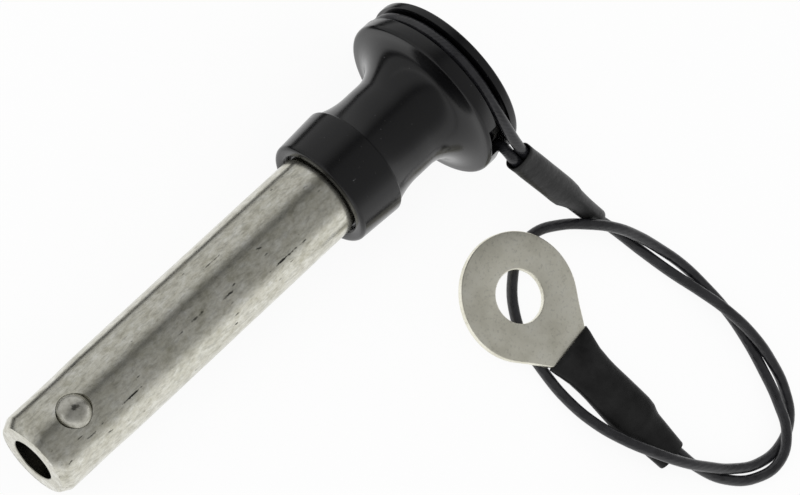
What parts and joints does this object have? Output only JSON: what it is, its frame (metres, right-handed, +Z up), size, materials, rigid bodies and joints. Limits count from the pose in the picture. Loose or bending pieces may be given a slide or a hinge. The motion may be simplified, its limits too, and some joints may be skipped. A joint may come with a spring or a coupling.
{
  "type": "push-button locking pin",
  "caption": "Push-button locking pin with two locking balls, a dark spool-shaped handle and a coated-cable lanyard with a ring terminal",
  "frame": {"origin": "on the floor under the middle of the pin, the lanyard not counted", "axes": "X from the tip to the handle, Z up"},
  "size_m": [0.1005, 0.0916, 0.0259],
  "materials": {
    "steel": "ground",
    "anodised": "glossy black anodised",
    "button": "plain",
    "spring": "bright",
    "ball": "polished",
    "cable": "coated wire rope",
    "crimp": "plain",
    "sleeve": "satin shrink sleeve",
    "ring": "satin nickel plate"
  },
  "bodies": {
    "pin_body": {"shank": "steel", "handle": "anodised", "snap_ring": "spring", "spring_washer": "spring", "return_spring": "spring", "cable_loop": "cable", "loop_ferrule": "crimp", "loop_sleeve": "sleeve", "lanyard_cable": "cable", "ring_terminal": "ring", "terminal_sleeve": "sleeve"},
    "plunger": {"spindle": "steel", "push_button": "button"},
    "ball_upper": {"upper_ball": "ball"},
    "ball_lower": {"lower_ball": "ball"}
  },
  "joints": [
    {"name": "button_push", "type": "slide", "parent": "pin_body", "child": "plunger", "axis": [-0.9968, 0, -0.0794], "range_m": [0, 0.0038], "stiffness_N_per_m": 1500, "springref_m": -0.006, "deforming": ["return_spring"]},
    {"name": "upper_ball_in", "type": "slide", "parent": "pin_body", "child": "ball_upper", "axis": [0.0746, -0.342, -0.9367], "range_m": [0, 0.00135]},
    {"name": "lower_ball_in", "type": "slide", "parent": "pin_body", "child": "ball_lower", "axis": [-0.0746, 0.342, 0.9367], "range_m": [0, 0.00135]}
  ],
  "couplings": [
    {"joint": "upper_ball_in", "follows": "button_push", "ratio": 0.35526},
    {"joint": "lower_ball_in", "follows": "button_push", "ratio": 0.35526}
  ]
}
